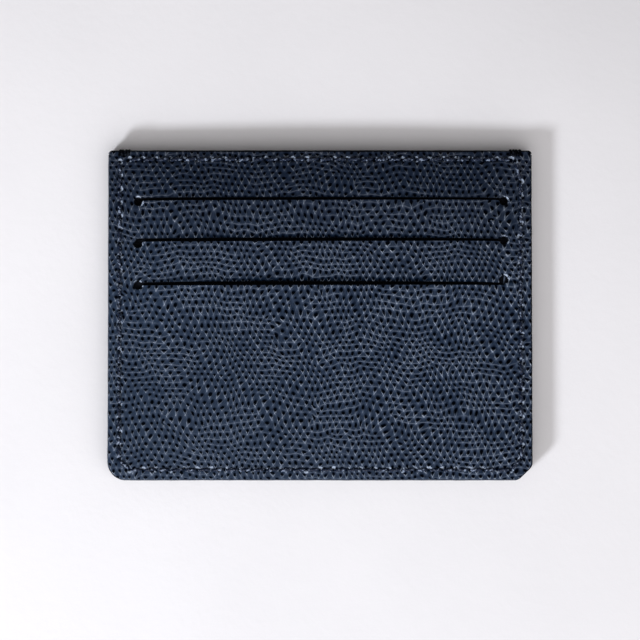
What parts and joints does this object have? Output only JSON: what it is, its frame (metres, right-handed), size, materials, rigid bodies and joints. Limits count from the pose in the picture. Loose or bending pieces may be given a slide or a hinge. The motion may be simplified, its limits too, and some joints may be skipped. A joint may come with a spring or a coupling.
{
  "type": "leather card holder",
  "caption": "Flat rectangular card holder of grained leather with stepped card slits on both faces and an open-topped centre pocket.",
  "frame": {"origin": "middle of the back face, on which the holder lies", "axes": "+X along the width to the right as the front is seen, +Y towards the mouth of the centre pocket, +Z out of the front face"},
  "size_m": [0.1, 0.0778, 0.0055],
  "materials": {
    "grained_leather": "embossed coarse grain, soft satin, dark navy",
    "inner_leather": "smooth, matt, dark navy",
    "border_board": "bonded leather board, matt",
    "pocket_lining": "fine woven lining, matt",
    "thread": "twisted polyester thread, slight sheen",
    "edge_paint": "satin edge paint, near-black navy"
  },
  "bodies": {
    "root": {"front_leather_panel": "grained_leather", "front_slit_lip_paint": "edge_paint", "front_border_strips": "border_board", "front_lower_pocket_lining": "pocket_lining", "front_middle_pocket_lining": "pocket_lining", "front_upper_pocket_lining": "pocket_lining", "front_inner_panel": "inner_leather", "front_top_stitches": "thread", "front_seam_stitches": "thread", "front_top_edge_paint": "edge_paint", "back_leather_panel": "grained_leather", "back_slit_lip_paint": "edge_paint", "back_border_strips": "border_board", "back_lower_pocket_lining": "pocket_lining", "back_middle_pocket_lining": "pocket_lining", "back_upper_pocket_lining": "pocket_lining", "back_inner_panel": "inner_leather", "back_top_stitches": "thread", "back_seam_stitches": "thread", "back_top_edge_paint": "edge_paint", "centre_seam_strips": "border_board", "joined_edge_paint": "edge_paint", "left_corner_tack": "thread", "right_corner_tack": "thread"}
  },
  "joints": []
}
